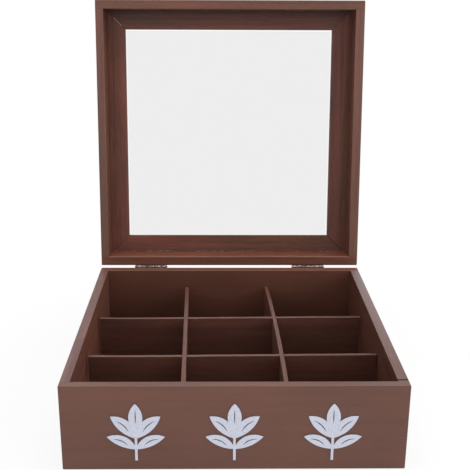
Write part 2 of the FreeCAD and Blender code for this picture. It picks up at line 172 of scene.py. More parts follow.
def pick_edges(piece, tests):
    """Select the sharp edges whose two ends both pass one of the tests."""
    def passes(edge):
        start, end = (vertex.co for vertex in edge.verts)
        return any(test(start) and test(end) for test in tests) and edge.calc_face_angle(0) > CREASE
    pick(piece, "EDGE", passes)


# %% Cutting, pulling and rounding
def cut_across(point, normal, remove=False, whole=True):
    """Cut the piece, or only its selected faces, with a plane. On request, the side that the
    normal points to is dropped and the cut is closed."""
    if whole:
        bpy.ops.mesh.select_all(action="SELECT")
    bpy.ops.mesh.bisect(plane_co=point, plane_no=normal, use_fill=remove, clear_outer=remove)
    bpy.ops.mesh.select_all(action="DESELECT")


def cut_at(axis, *places):
    """Cut the whole piece across at some places on one axis."""
    normal = Vector({"x": (1, 0, 0), "y": (0, 1, 0)}[axis])
    for place in places:
        cut_across(normal * place, normal)


def pull(offset):
    """Extrude the selected faces along an offset."""
    bpy.ops.mesh.extrude_region_move(TRANSFORM_OT_translate={"value": offset})
    bpy.ops.mesh.select_all(action="DESELECT")


def round_over(piece, tests, width, segments):
    """Bevel the sharp edges that pass the tests."""
    pick_edges(piece, tests)
    bpy.ops.mesh.bevel(offset=width, offset_type="OFFSET", segments=segments, affect="EDGES")
    bpy.ops.mesh.select_all(action="DESELECT")


def move_points(piece, test, offset):
    """Move the points that pass a test."""
    pick(piece, "VERT", lambda vertex: test(vertex.co))
    bpy.ops.transform.translate(value=offset)
    bpy.ops.mesh.select_all(action="DESELECT")


# %% [markdown]
# ## What every board gets when its shape is done
#
# The paint needs to know a few things about each board, and they are stored on its mesh as
# attributes. The first is each point's place along and across its board, and its height, moved by
# a different step for each board, so that no two show the same pattern. It is taken before the lid
# is opened, and so it stays straight on the board when the lid leans back, where a texture in
# plain object coordinates would run at a slant.
#
# The second says which points lie on an arris: 1 on the inner ones, painted pale as rubbed wear
# and as a painted highlight, and -1 on the outer ones, which get a thin dark line of painted shade.
# The last two let a board be darker or paler in places. The first scales the brown, so less is
# darker: it carries the dark paint of joints, and painted shade and painted light. The second is
# how much grey lies on it: a painted reflection of the white room on the rims, and pale specks on
# the glue. Both start plain, and are set board by board.
#
# Smooth shading alone would smear the light of the small roundings over the wide flats. Weighted
# normals let the big faces keep their own direction.

# %% Closing a board
RUBBED_WITHIN = 1.3 * MM
SEED_STEP = Vector((1.37, 2.11, 3.73))
BOX_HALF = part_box("front_panel")[1].x


def close_board(piece, along, seed):
    """Leave edit mode, shade the board, and store all that its paint needs to know."""
    bpy.ops.object.mode_set(mode="OBJECT")
    bpy.ops.object.shade_smooth_by_angle(angle=CREASE)
    weighted = piece.modifiers.new("weighted", "WEIGHTED_NORMAL")
    weighted.keep_sharp = True
    bpy.ops.object.modifier_apply(modifier=weighted.name)
    low, high = corners([vertex.co for vertex in piece.data.vertices])
    lay_grain(piece, along, seed)
    store(piece, "arris", lambda point: on_arris(point, low, high))
    # Room for painted shade and light, and for a grey painted reflection, set later board by board.
    store(piece, "paint_depth_and_shade", lambda point: 1.0)
    store(piece, "pale_haze_and_sheen", lambda point: 0.0)
    print(piece.name, "has", len(piece.data.polygons), "faces")
    return piece


def points_and_items(piece, name, kind):
    """Each point's place, with what is stored there under a name."""
    layer = piece.data.attributes.get(name) or piece.data.attributes.new(name, kind, "POINT")
    return zip((vertex.co for vertex in piece.data.vertices), layer.data)


def store(piece, name, rule):
    """Store one number at each point of a piece, given by a rule of the point's place."""
    for point, item in points_and_items(piece, name, "FLOAT"):
        item.value = rule(point)


def on_arris(point, low, high):
    """1 on an inner rounding, -1 on an outer one, and 0 on the flats."""
    gap = min(min(point[axis] - low[axis], high[axis] - point[axis]) for axis in range(3))
    if not SAME_PLACE < gap < RUBBED_WITHIN:
        return 0.0
    return -1.0 if max(abs(point.x), abs(point.y)) > BOX_HALF - RUBBED_WITHIN else 1.0


def lay_grain(piece, along, seed):
    """Store each point's place along and across the board, and its height."""
    along, up = Vector(along), Vector((0, 0, 1))
    across = up.cross(along)
    for point, item in points_and_items(piece, "board_place", "FLOAT_VECTOR"):
        item.vector = Vector(point.dot(axis) for axis in (along, across, up)) + SEED_STEP * seed


def between(start, end, share):
    """A value on the way from start to end."""
    return start + (end - start) * share


# %% Copying and turning a finished board
def take(piece):
    """Make a piece the only one selected, and the active one."""
    bpy.ops.object.select_all(action="DESELECT")
    piece.select_set(True)
    bpy.context.view_layer.objects.active = piece


def copy_board(piece, name):
    """A copy with its own mesh, selected and active."""
    twin = piece.copy()
    twin.data = piece.data.copy()
    twin.name = twin.data.name = name
    bpy.context.scene.collection.objects.link(twin)
    take(twin)
    return twin


def turn_mesh(piece, degrees, axis, centre):
    """Turn a piece's mesh about a point, which leaves its object at the origin."""
    take(piece)
    bpy.ops.object.mode_set(mode="EDIT")
    bpy.ops.mesh.select_all(action="SELECT")
    bpy.ops.transform.rotate(value=-math.radians(degrees), orient_axis=axis, orient_type="GLOBAL",
                             center_override=centre)
    bpy.ops.object.mode_set(mode="OBJECT")


def compare(piece, node):
    """Say how far a piece's box is from the part that it stands for, in millimetres."""
    both = zip(corners([vertex.co for vertex in piece.data.vertices]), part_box(node))
    off = max(abs(gap) for mine, theirs in both for gap in mine - Vector(theirs))
    print(piece.name, "is within", round(off / MM, 3), "mm of", node)


# %% [markdown]
# ## The base's front and rear boards
#
# The front and rear boards run the full width and cover the ends of the side boards, so the
# wide faces show no joint. Underneath, a shallow rebate takes the bottom panel. Every board was
# planed by hand and has its own thickness, so one recipe makes both of them, and the frame's own
# sizes tell it where the outer face, the inner face and the rebate lie.
#
# The board could be cut out of a block with a boolean, but then its edges would have to be found
# again. Here the block stands on the rebate's ledge, and the outer strip of its underside is
# pulled down to the table, which leaves the rebate as clean faces. The outer arrises are
# sanded round by just under a millimetre, the inner rim by a quarter of that, and the arrises where
# boards meet are only broken, so that each joint reads as a hairline.

# %% The front and rear boards
SANDED_EDGE = 0.9 * MM
RIM_EDGE = 0.25 * MM
JOINT_EDGE = 0.16 * MM
PANEL_GAP = 0.3 * MM

panel_low, panel_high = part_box("bottom_panel")
ledge = {"left": panel_low.x - PANEL_GAP, "right": panel_high.x + PANEL_GAP,
         "front": panel_low.y - PANEL_GAP, "rear": panel_high.y + PANEL_GAP}
inside_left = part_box("left_side_panel")[1].x
inside_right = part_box("right_side_panel")[0].x


def outer_and_inner(low, high):
    """A board's outer and inner face along one axis, and a test of being near the outer one."""
    if low < 0:
        return low, high, lambda place: place < low + SANDED_EDGE + SAME_PLACE
    return high, low, lambda place: place > high - SANDED_EDGE - SAME_PLACE


def ease(board, outline, rim, joints, rim_edge=RIM_EDGE):
    """Sand a board's outline, ease its rim, and only break the arrises where it meets others."""
    round_over(board, outline, SANDED_EDGE, 4)
    round_over(board, rim, rim_edge, 3)
    round_over(board, joints, JOINT_EDGE, 1)


def end_board(side, seed):
    """The front or the rear board of the base."""
    low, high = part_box(side + "_panel")
    outer, inner, _ = outer_and_inner(low.y, high.y)
    board = start_block("base_" + side + "_board", (low.x, low.y, panel_high.z), high)
    cut_at("x", inside_left, ledge["left"], ledge["right"], inside_right)
    cut_at("y", ledge[side])
    pick_faces(board, lambda middle, normal: normal.z < -LEVEL and (
        abs(middle.y) > abs(ledge[side]) or not ledge["left"] < middle.x < ledge["right"]))
    pull((0, 0, -panel_high.z))
    outline = [at(y=outer, z=high.z), at(y=outer, z=0)]
    for x in (low.x, high.x):
        outline += [at(x=x, y=outer), at(x=x, z=high.z), at(x=x, z=0)]
    rim = [at(y=inner, z=high.z, x_above=inside_left, x_below=inside_right)]
    joints = [at(y=inner, x_above=inside_right), at(y=inner, x_below=inside_left)]
    ease(board, outline, rim, joints)
    return close_board(board, along=(1, 0, 0), seed=seed)


front_board = end_board("front", seed=1)
rear_board = end_board("rear", seed=2)

# %% Where painted shade and a painted sheen lie on them
# Painted shade and a painted reflection: the front rim is darkened and given a little grey sheen, and
# the rear board's inner face is darkened towards the bottom of the tray.
FRONT_RIM_SHADE, FRONT_RIM_SHEEN = 0.74, 0.07
REAR_FOOT_SHADE = 0.40

rim_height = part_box("front_panel")[1].z
near_back = BOX_HALF - 5 * MM


def on_rim(point):
    return point.z > rim_height - SAME_PLACE


def rear_painted_shade(point):
    """On its inner face, the rear board is darker towards the bottom of the tray: painted shade."""
    return between(REAR_FOOT_SHADE, 1.0, point.z / rim_height) if point.y < near_back else 1.0


store(front_board, "paint_depth_and_shade", lambda point: FRONT_RIM_SHADE if on_rim(point) else 1.0)
store(front_board, "pale_haze_and_sheen", lambda point: FRONT_RIM_SHEEN if on_rim(point) else 0.0)
store(rear_board, "paint_depth_and_shade", rear_painted_shade)

# %% [markdown]
# ## The side boards
#
# Each side board fits between the front and rear ones. The right one was cut too short, and a thin
# shim fills its front joint. Its glue line shows as a dark groove across the rim: the board
# is cut across five times, close together. The middle cut's top is pushed down, and it and its
# neighbours get almost black paint, which the two outer cuts keep from spreading. That paint is
# the dark glue line and also painted shade inside the groove.

# %% The side boards
SHIM = 2.3 * MM
GROOVE_HALF, GROOVE_SINK = 0.8 * MM, 3 * MM
GROOVE_CUTS = (-1.3, -1, 0, 1, 1.3)
GROOVE_DEPTH = 0.15

groove_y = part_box("right_side_panel")[0].y + SHIM
in_groove = at(y_above=groove_y - GROOVE_HALF, y_below=groove_y + GROOVE_HALF,
               z_above=rim_height - GROOVE_SINK - MM)


def side_board(side, seed, grooved=False):
    """The left or the right board of the base, with or without the groove behind the shim."""
    low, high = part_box(side + "_side_panel")
    outer, inner, near_outer = outer_and_inner(low.x, high.x)
    board = start_block("base_" + side + "_board", (low.x, low.y, panel_high.z), high)
    cut_at("x", ledge[side])
    pick_faces(board, lambda middle, normal: normal.z < -LEVEL and abs(middle.x) > abs(ledge[side]))
    pull((0, 0, -panel_high.z))
    ends = [at(y=y, z_above=high.z - SANDED_EDGE) for y in (low.y, high.y)]
    ends += [lambda point, y=y: at(y=y)(point) and near_outer(point.x) for y in (low.y, high.y)]
    ease(board, [at(x=outer, z=high.z), at(x=outer, z=0)], [at(x=inner, z=high.z)], ends)
    if grooved:
        cut_at("y", *(groove_y + share * GROOVE_HALF for share in GROOVE_CUTS))
        move_points(board, at(y=groove_y, z_above=high.z - SANDED_EDGE), (0, 0, -GROOVE_SINK))
    return close_board(board, along=(0, 1, 0), seed=seed)


def lay_side_paint(board, rim_shade, face_shade, front_sheen, rear_sheen):
    """Set a side board's painted shade, on its rim and faces, and painted grey sheen on its rim."""
    low, high = corners([vertex.co for vertex in board.data.vertices])

    def depth(point):
        # The groove's almost black paint is the dark glue line and painted shade inside the groove.
        if in_groove(point):
            return GROOVE_DEPTH
        return rim_shade if on_rim(point) else face_shade

    def haze(point):
        share = (point.y - low.y) / (high.y - low.y)
        return between(front_sheen, rear_sheen, share) if on_rim(point) else 0.0

    store(board, "paint_depth_and_shade", depth)
    store(board, "pale_haze_and_sheen", haze)


left_board = side_board("left", seed=3)
right_board = side_board("right", seed=4, grooved=True)
# Painted shade and a painted reflection: the rims are a little darker, the right board's faces darker
# still, and a grey sheen lies on the rims, strongest at the rear of the right one.
lay_side_paint(left_board, rim_shade=0.88, face_shade=1.0, front_sheen=0.12, rear_sheen=0.08)
lay_side_paint(right_board, rim_shade=0.95, face_shade=0.84, front_sheen=0.04, rear_sheen=0.55)
print("the groove has", sum(in_groove(vertex.co) for vertex in right_board.data.vertices),
      "dark points")

for piece, node in ((front_board, "front_panel"), (rear_board, "rear_panel"),
                    (left_board, "left_side_panel"), (right_board, "right_side_panel")):
    compare(piece, node)
    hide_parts(node)
    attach(piece, "base")

# %% [markdown]
# ## The loose grid of slats
#
# Four thin slats cross at halving joints: the cross ones are slotted from above, the long ones from
# below, and they slide together like an egg crate. The long ones are a little shorter. The grid
# stands loose in the tray, a little askew, and the right long slat has warped.
#
# A slat could be cut with booleans too, but a slotted slat is just a low strip with blocks standing
# on it. So the strip is cut across at the slots, and the faces between them are pulled up. All the
# slats are made about the grid's own middle, and the grid is put in its place at the end.

# %% The rear cross slat and the left long one
SLAT_THICK = 3.2 * MM
CROSS_CLEARANCE = 1.2 * MM
LONG_CLEARANCE = 1.85 * MM
SLAT_EDGE = 0.4 * MM
SLOT_CLEARANCE = 0.1 * MM
CUT_SPACING, CUTS_EACH_WAY = 7 * MM, 15

inside_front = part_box("front_panel")[1].y
inside_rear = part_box("rear_panel")[0].y
slat_low, slat_high = (corner.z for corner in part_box("cross_divider_rear"))
slot_floor = (slat_low + slat_high) / 2
slot_half = SLAT_THICK / 2 + SLOT_CLEARANCE
cross_half = (inside_right - inside_left) / 2 - CROSS_CLEARANCE
long_half = (inside_rear - inside_front) / 2 - LONG_CLEARANCE
long_slat_x = (2 * cross_half + SLAT_THICK) / 6
cross_slat_y = (2 * long_half + SLAT_THICK) / 6


def halved_slat(name, half, crossing, seed):
    """A slat along X about the origin, with two slots that open upwards."""
    faces = (-SLAT_THICK / 2, SLAT_THICK / 2)
    slat = start_block(name, (-half, faces[0], slat_low), (half, faces[1], slot_floor))
    cut_at("x", *(middle + way * slot_half for middle in (-crossing, crossing) for way in (-1, 1)))
    pick_faces(slat, lambda middle, normal: normal.z > LEVEL and
               abs(abs(middle.x) - crossing) > slot_half)
    pull((0, 0, slat_high - slot_floor))
    cut_at("x", *(step * CUT_SPACING for step in range(-CUTS_EACH_WAY, CUTS_EACH_WAY + 1)))
    arrises = [at(y=y, z=z) for y in faces for z in (slat_low, slat_high)]
    arrises += [at(x=x, y=y) for x in (-half, half) for y in faces]
    round_over(slat, arrises, SLAT_EDGE, 2)
    return close_board(slat, along=(1, 0, 0), seed=seed)


rear_slat = halved_slat("cross_slat_rear", cross_half, long_slat_x, 5)
left_slat = halved_slat("long_slat_left", long_half, cross_slat_y, 7)
turn_mesh(left_slat, 180, "X", (0, 0, slot_floor))
turn_mesh(left_slat, 90, "Z", (0, 0, 0))
lay_grain(left_slat, along=(0, 1, 0), seed=7)

# %% [markdown]
# The long slat above is the same slat upside down and turned across, so that its slots open
# downwards. The other two slats are copies, and all four move out from the middle. The warp of the
# right one is a parabola that is added to its points, which bends it between the crossings
# and keeps it in its slots. The saw wandered up at the left ends of the two cross slats, which rise
# there by half a millimetre, and the rear one was trimmed a little short, so a gap shows. Last, thin
# paint leaves the edges a little uneven, so each slat's points are moved by a tenth of a
# millimetre of smooth noise. The noise would start from the clock, so it is given a seed.

# %% The whole grid
GRID_TURN = 0.95
SLAT_BOW = 1.8 * MM
SAW_RISE, RISE_LENGTH, TRIM = 0.6 * MM, 45 * MM, 0.9 * MM
UNEVEN, UNEVEN_SPACING, UNEVEN_STEP = 0.12 * MM, 9 * MM, 5
NOISE_SEED = 1
# Painted shade and light on the slats: darker towards the bottom of the tray, paler at their tops.
SLAT_FOOT_SHADE, SLAT_TOP_LIGHT = 0.76, 1.14

noise.seed_set(NOISE_SEED)

front_slat = copy_board(rear_slat, "cross_slat_front")
lay_grain(front_slat, along=(1, 0, 0), seed=6)
right_slat = copy_board(left_slat, "long_slat_right")
lay_grain(right_slat, along=(0, 1, 0), seed=8)
for vertex in right_slat.data.vertices:
    vertex.co.x += SLAT_BOW * (cross_slat_y ** 2 - vertex.co.y ** 2) / long_half ** 2
for slat in (rear_slat, front_slat):
    for vertex in slat.data.vertices:
        rise = max(0, 1 - (vertex.co.x + cross_half) / RISE_LENGTH) ** 2
        if vertex.co.z > slot_floor + MM:
            vertex.co.z += SAW_RISE * rise
for vertex in rear_slat.data.vertices:
    if vertex.co.x < -cross_half + MM:
        vertex.co.x += TRIM
for slat, place in ((rear_slat, (0, cross_slat_y, 0)), (front_slat, (0, -cross_slat_y, 0)),
                    (left_slat, (-long_slat_x, 0, 0)), (right_slat, (long_slat_x, 0, 0))):
    slat.data.transform(Matrix.Translation(place))

grid_middle = ((inside_left + inside_right) / 2, (inside_front + inside_rear) / 2, 0)
slats = {"cross_divider_rear": rear_slat, "cross_divider_front": front_slat,
         "long_divider_left": left_slat, "long_divider_right": right_slat}


def slat_painted_shade(point):
    """Painted shade and light on the slats: darker towards the bottom of the tray, paler at their
    tops.
    """
    share = (point.z - slat_low) / (slat_high - slat_low)
    return between(SLAT_FOOT_SHADE, SLAT_TOP_LIGHT, share)


for seed, (node, slat) in enumerate(slats.items()):
    for vertex in slat.data.vertices:
        patch = vertex.co / UNEVEN_SPACING + Vector((0, 0, UNEVEN_STEP * seed))
        fade = min(1, max(0, vertex.co.z - slot_floor) / (slat_high - slot_floor))
        vertex.co += noise.noise_vector(patch) * UNEVEN * fade - Vector((0, 0, UNEVEN * fade))
    turn_mesh(slat, GRID_TURN, "Z", (0, 0, 0))
    slat.data.transform(Matrix.Translation(grid_middle))
    store(slat, "paint_depth_and_shade", slat_painted_shade)
    compare(slat, node)
    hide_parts(node)
    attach(slat, "divider_insert")

# %% [markdown]
# ## The lid's four walls
#
# The lid's walls are shallow boards, put together like the base's. They are modelled shut, where
# they are square to the world, and turned open when they are done. The turning is an edit mode
# operator on the points, so each object itself stays unturned at the origin.

# %% The lid's walls
WORN_EDGE = 3 * RIM_EDGE

lid_inside_left = shut_box("lid_left_wall")[1].x
lid_inside_right = shut_box("lid_right_wall")[0].x


def lid_end_wall(side, seed, rim_edge=RIM_EDGE):
    """The front or the rear wall of the lid, shut."""
    low, high = shut_box("lid_" + side + "_wall")
    outer, inner, near_outer = outer_and_inner(low.y, high.y)
    wall = start_block("lid_" + side + "_board", low, high)
    cut_at("x", lid_inside_left, lid_inside_right)
    outline = [at(y=outer, z=low.z)]
    for x in (low.x, high.x):
        outline += [at(x=x, y=outer), at(x=x, z=low.z)]
    rim = [at(y=inner, z=low.z, x_above=lid_inside_left, x_below=lid_inside_right)]
    joints = [at(y=inner, x_above=lid_inside_right), at(y=inner, x_below=lid_inside_left),
              lambda point: at(z=high.z)(point) and near_outer(point.y),
              at(z=high.z, x=low.x), at(z=high.z, x=high.x)]
    ease(wall, outline, rim, joints, rim_edge)
    return close_board(wall, along=(1, 0, 0), seed=seed)


def lid_side_wall(side, seed):
    """The left or the right wall of the lid, shut."""
    low, high = shut_box("lid_" + side + "_wall")
    outer, inner, near_outer = outer_and_inner(low.x, high.x)
    wall = start_block("lid_" + side + "_board", low, high)
    joints = [at(x=outer, z=high.z)]
    for y in (low.y, high.y):
        joints += [at(y=y, z_below=low.z + SANDED_EDGE),
                   lambda point, y=y: at(y=y)(point) and near_outer(point.x)]
    ease(wall, [at(x=outer, z=low.z)], [at(x=inner, z=low.z)], joints)
    return close_board(wall, along=(0, 1, 0), seed=seed)


lid_front = lid_end_wall("front", seed=9)
lid_rear = lid_end_wall("rear", seed=10, rim_edge=WORN_EDGE)
lid_left = lid_side_wall("left", seed=11)
lid_right = lid_side_wall("right", seed=12)

# %% Where painted shade, light and sheen lie on the lid
# Painted shade on the lid's front wall, on its rear wall's rim and on the halves of the side rims next
# to the hinge; painted light on the rear wall's inner face; a grey painted reflection on the other
# halves of the side rims.
LID_SHADE, LID_SHEEN = 0.95, 0.06
LID_REAR_RIM_SHADE, LID_REAR_FACE_LIGHT = 0.80, 1.12

lid_base = shut_box("lid_front_wall")[0].z


def on_lid_rim(point):
    return point.z < lid_base + SAME_PLACE


def lid_rear_painted_shade(point):
    """Painted shade and light: the lid's rear wall is darkest on its rim and palest on its inner face.
    """
    if on_lid_rim(point):
        return LID_REAR_RIM_SHADE
    return LID_REAR_FACE_LIGHT if point.y < near_back else 1.0


store(lid_rear, "paint_depth_and_shade", lid_rear_painted_shade)
store(lid_front, "paint_depth_and_shade", lambda point: LID_SHADE)
for wall in (lid_left, lid_right):
    store(wall, "paint_depth_and_shade", lambda point: LID_SHADE if on_lid_rim(point) and point.y > 0 else 1.0)
    store(wall, "pale_haze_and_sheen", lambda point: LID_SHEEN if on_lid_rim(point) and point.y < 0 else 0.0)

# %% [markdown]
# ## The mitred window frame
#
# The pane is held by four flat rails, mitred at the corners and grooved for the glass. Four rails
# could be modelled one by one, each with two slanted ends, but their roundings and grooves would
# have to meet exactly. A joiner's trick is quicker: the frame is made whole, its edges are rounded
# and its groove is run, and only then is it sawn at its corners.
#
# The right rail was sawn a little wider than the others. So the opening starts as an even inset,
# and its right edge is then moved in to where it belongs. Every mitre runs out from a corner of the
# window at 45 degrees. The arrises there are only broken, but the mitre beside the right hinge
# and the one diagonally across from it have been chipped wider, and show as dark lines.
#
# The lid's walls stand over the rails and shade them where they meet, and that shade is painted on.
# Each rail is cut along the foot of its wall, so that its paint can be palest along the window and
# darkest there, and even again on its other faces.

# %% The whole frame
rail_boxes = {side: shut_box("lid_" + side + "_rail") for side in ("left", "right", "front", "rear")}
pane_low, pane_high = shut_box("window_pane")
edge_of = {"left": rail_boxes["left"][0].x, "right": rail_boxes["right"][1].x,
           "front": rail_boxes["front"][0].y, "rear": rail_boxes["rear"][1].y}
window = {"left": rail_boxes["left"][1].x, "right": rail_boxes["right"][0].x,
          "front": rail_boxes["front"][1].y, "rear": rail_boxes["rear"][0].y}
rail_base, rail_top = (corner.z for corner in rail_boxes["front"])
rail_width = window["front"] - edge_of["front"]
PANE_GROOVE = 5 * MM


def in_opening(middle, normal):
    """Whether a face is one of the opening's upright sides."""
    return (abs(normal.z) < 1 - LEVEL and window["left"] - MM < middle.x < window["right"] + MM
            and window["front"] - MM < middle.y < window["rear"] + MM)


whole_frame = start_block("window_frame", (edge_of["left"], edge_of["front"], rail_base),
                          (edge_of["right"], edge_of["rear"], rail_top))
pick_faces(whole_frame, lambda middle, normal: abs(normal.z) > LEVEL)
bpy.ops.mesh.inset(thickness=rail_width)
bpy.ops.mesh.bridge_edge_loops()
even_edge = edge_of["right"] - rail_width
move_points(whole_frame, at(x=even_edge), (window["right"] - even_edge, 0, 0))

for level in (pane_low.z, pane_high.z):
    pick_faces(whole_frame, in_opening)
    cut_across((0, 0, level), (0, 0, 1), whole=False)
pick_faces(whole_frame, lambda middle, normal: in_opening(middle, normal) and
           pane_low.z < middle.z < pane_high.z)
bpy.ops.mesh.extrude_region_shrink_fatten(
    TRANSFORM_OT_shrink_fatten={"value": -PANE_GROOVE, "use_even_offset": True})

# %% Rounding the frame
side_edges = (edge_of["left"], edge_of["right"])
end_edges = (edge_of["front"], edge_of["rear"])
outline = [at(x=x, y=y) for x in side_edges for y in end_edges]
outline += [at(x=x, z=rail_top) for x in side_edges] + [at(y=y, z=rail_top) for y in end_edges]
opening = [at(x=window[side], z=z) for side in ("left", "right") for z in (rail_base, rail_top)]
opening += [at(y=window[side], z=z) for side in ("front", "rear") for z in (rail_base, rail_top)]
joints = [at(z=rail_base, x_above=side_edges[1] - SANDED_EDGE),
          at(z=rail_base, x_below=side_edges[0] + SANDED_EDGE),
          at(z=rail_base, y_above=end_edges[1] - SANDED_EDGE),
          at(z=rail_base, y_below=end_edges[0] + SANDED_EDGE)]
ease(whole_frame, outline, opening, joints)
bpy.ops.object.mode_set(mode="OBJECT")

# %% Sawing it into four rails
MITRE_EDGE = {("right", "rear"): 0.45 * MM, ("left", "front"): 0.3 * MM}
MITRE_SLACK = 0.03 * MM
MITRE_DEPTH = 0.1
PAST_FOOT = 1.01

wall_foot = {"left": lid_inside_left, "right": lid_inside_right,
             "front": shut_box("lid_front_wall")[1].y, "rear": shut_box("lid_rear_wall")[0].y}


def on_mitre(corner, away):
    """A test of whether a point lies on the mitre through a corner of the window. The roundings
    already there meet a hair beside it."""
    return lambda point: abs(away.dot(point - corner)) < MITRE_SLACK


def saw_rail(side, seed, painted_shades):
    """One rail, sawn out of a copy of the frame at the two corners where it meets its neighbours.
    Its last argument gives its painted shade and light at the window and at the foot of the wall."""
    rail = copy_board(whole_frame, "window_rail_" + side)
    bpy.ops.object.mode_set(mode="EDIT")
    axis, foot = "x" if side in ("left", "right") else "y", wall_foot[side]
    middle = sum(rail_boxes[side], Vector()) / 2
    mitres = []
    for end in ("front", "rear") if axis == "x" else ("left", "right"):
        names = (side, end) if axis == "x" else (end, side)
        corner = Vector((window[names[0]], window[names[1]], 0))
        away = Vector((-math.copysign(1, corner.y), math.copysign(1, corner.x), 0)).normalized()
        if away.dot(middle - corner) > 0:
            away.negate()
        cut_across(corner, away, remove=True)
        bpy.ops.mesh.select_all(action="SELECT")
        bpy.ops.mesh.remove_doubles(threshold=MITRE_SLACK)
        mitres.append(on_mitre(corner, away))
        round_over(rail, mitres[-1:], MITRE_EDGE.get(names, JOINT_EDGE), 1)
    cut_at(axis, foot)
    close_board(rail, along=(0, 1, 0) if axis == "x" else (1, 0, 0), seed=seed)

    def depth(point):
        if any(mitre(point) for mitre in mitres):
            return MITRE_DEPTH
        share = (getattr(point, axis) - window[side]) / (foot - window[side])
        if point.z > rail_base + SAME_PLACE or share > PAST_FOOT:
            return 1.0
        return between(*painted_shades, share)

    store(rail, "paint_depth_and_shade", depth)
    return rail


# Painted shade and light: each rail is paler along the window and darker at the foot of its wall, most
# of all the front rail, under the lid's top wall.
rails = {"lid_front_rail": saw_rail("front", seed=13, painted_shades=(1.0, 0.42)),
         "lid_rear_rail": saw_rail("rear", seed=15, painted_shades=(1.0, 1.0)),
         "lid_left_rail": saw_rail("left", seed=16, painted_shades=(1.15, 0.96)),
         "lid_right_rail": saw_rail("right", seed=14, painted_shades=(1.04, 0.92))}
bpy.data.objects.remove(whole_frame)

# %% [markdown]
# ## Glue that was squeezed out
#
# Where the lid's rear wall meets its rail, a bead of glue was painted over. It is a thin strip that
# is cut across every few millimetres, and whose points then wander in smooth noise. In the mitre
# at the front left, a thread of glue set pale and was missed by the paint. It is a fine strip
# that is made along X, turned by 225 degrees and moved to its corner of the window.

# %% The bead of glue
BEAD_WIDTH, BEAD_HEIGHT, BEAD_EDGE = 1.0 * MM, 0.8 * MM, 0.4 * MM
BEAD_STEP, BEAD_WAVE, BEAD_WANDER = 2.5 * MM, 7.5 * MM, 0.45 * MM
WAVE_START = Vector((7, 3, 1))
BEAD_DEPTH, BEAD_HAZE = 0.45, 0.65
HAZE_PATCH, HAZE_ABOVE = 2 * MM, 0.28

bead_inner, bead_base = wall_foot["rear"], rail_base - BEAD_HEIGHT
bead_from, bead_to = lid_inside_left + MM, lid_inside_right - MM
bead = start_block("glue_bead", (bead_from, bead_inner - BEAD_WIDTH, bead_base),
                   (bead_to, bead_inner, rail_base))
steps = range(1, int((bead_to - bead_from) / BEAD_STEP))
cut_at("x", *(bead_from + step * BEAD_STEP for step in steps))
pick_edges(bead, [at(y=bead_inner - BEAD_WIDTH, z=bead_base)])
bpy.ops.mesh.bevel(offset=BEAD_EDGE, segments=2, affect="EDGES")
close_board(bead, along=(1, 0, 0), seed=17)
for vertex in bead.data.vertices:
    wander = noise.noise_vector(Vector((vertex.co.x / BEAD_WAVE, 0, 0)) + WAVE_START)
    if vertex.co.y < bead_inner - 0.1 * MM:
        vertex.co.y += wander.y * BEAD_WANDER * 2
    if vertex.co.z < rail_base - 0.1 * MM:
        vertex.co.z += wander.z * BEAD_WANDER
store(bead, "paint_depth_and_shade", lambda point: BEAD_DEPTH)
store(bead, "pale_haze_and_sheen",
      lambda point: BEAD_HAZE if noise.noise(point / HAZE_PATCH) > HAZE_ABOVE else 0.0)

# %% The thread of glue
THREAD_FROM, THREAD_TO = 4.6 * MM, 15 * MM
THREAD_HALF, THREAD_PROUD = 0.25 * MM, 0.2 * MM

thread = start_block("glue_thread", (THREAD_FROM, -THREAD_HALF, rail_base - THREAD_PROUD),
                     (THREAD_TO, THREAD_HALF, rail_base + THREAD_PROUD))
pick_edges(thread, [at(x=THREAD_FROM), at(x=THREAD_TO), at(z=rail_base - THREAD_PROUD)])
bpy.ops.mesh.bevel(offset=THREAD_PROUD / 2, segments=2, affect="EDGES")
close_board(thread, along=(1, 0, 0), seed=18)
turn_mesh(thread, 225, "Z", (0, 0, 0))
thread.data.transform(Matrix.Translation((window["left"], window["front"], 0)))

# %% Opening the lid
lid_parts = {"lid_front_wall": lid_front, "lid_rear_wall": lid_rear,
             "lid_left_wall": lid_left, "lid_right_wall": lid_right, **rails}
for piece in (*lid_parts.values(), bead, thread):
    turn_mesh(piece, -math.degrees(OPEN_ANGLE), "X", HINGE_AXIS)
    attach(piece, "lid")
for node, piece in lid_parts.items():
    compare(piece, node)
    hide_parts(node)

# %% [markdown]
# ## Writing finishes as sums
#
# A finish is a small program that runs at each point of a surface. In the node editor it is drawn as
# boxes and wires; here it is written as arithmetic. A Signal holds one node's output, and
# Python's own operators on it add Math nodes, so that 0.4 + 0.1 * fibre builds two of them. Every
# other node comes from one method, which takes the node's type, its settings and its sockets.


# %% Signals and finishes
class Signal:
    """One node's output, on which Python's own operators work."""

    def __init__(self, finish, socket):
        self.finish, self.socket = finish, socket

    def __add__(self, other):
        return self.finish.maths("ADD", self, other)

    def __sub__(self, other):
        return self.finish.maths("SUBTRACT", self, other)

    def __rsub__(self, other):
        return self.finish.maths("SUBTRACT", other, self)

    def __mul__(self, other):
        return self.finish.maths("MULTIPLY", self, other)

    __radd__ = __add__
    __rmul__ = __mul__


